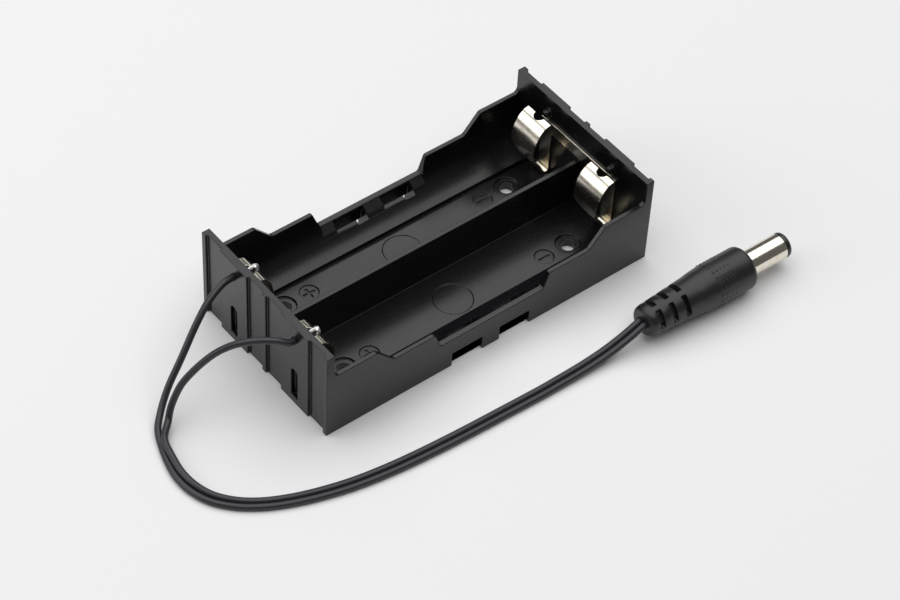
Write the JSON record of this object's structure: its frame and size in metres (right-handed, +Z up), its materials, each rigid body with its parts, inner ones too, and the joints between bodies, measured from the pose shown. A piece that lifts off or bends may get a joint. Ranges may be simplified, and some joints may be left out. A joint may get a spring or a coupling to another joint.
{
  "type": "cylindrical cell holder",
  "caption": "Open-topped holder for cylindrical cells side by side, with sheet-metal spring contacts, a soldered twin lead and a moulded coaxial power plug.",
  "frame": {"origin": "middle of the holder's underside, with the leads and the plug left out", "axes": "+X along the cells towards the spring contact, with the leads at -X; +Y across the bays to the far one, away from the plug; +Z up, out of the open bays"},
  "size_m": [0.1288, 0.0607, 0.0213],
  "materials": {
    "black_abs": "moulded black ABS, satin gloss",
    "nickel_sheet": "bright nickel-plated spring sheet",
    "tinned_copper": "tinned stranded copper",
    "solder": "bright solder",
    "lead_pvc": "black soft PVC, glossy",
    "plug_pvc": "black moulded PVC, satin",
    "nickel_sleeve": "bright nickel plate",
    "plug_insulator": "black plastic"
  },
  "bodies": {
    "root": {"housing": "black_abs", "spring_contact": "nickel_sheet", "contact_far": "nickel_sheet", "contact_near": "nickel_sheet", "core_far": "tinned_copper", "core_near": "tinned_copper", "solder_far": "solder", "solder_near": "solder", "lead_far": "lead_pvc", "lead_near": "lead_pvc", "plug_grip": "plug_pvc", "plug_sleeve": "nickel_sleeve", "plug_insulator": "plug_insulator", "plug_centre_contact": "nickel_sleeve", "plug_core_far": "tinned_copper", "plug_core_near": "tinned_copper", "plug_solder_far": "solder", "plug_solder_near": "solder"}
  },
  "joints": []
}
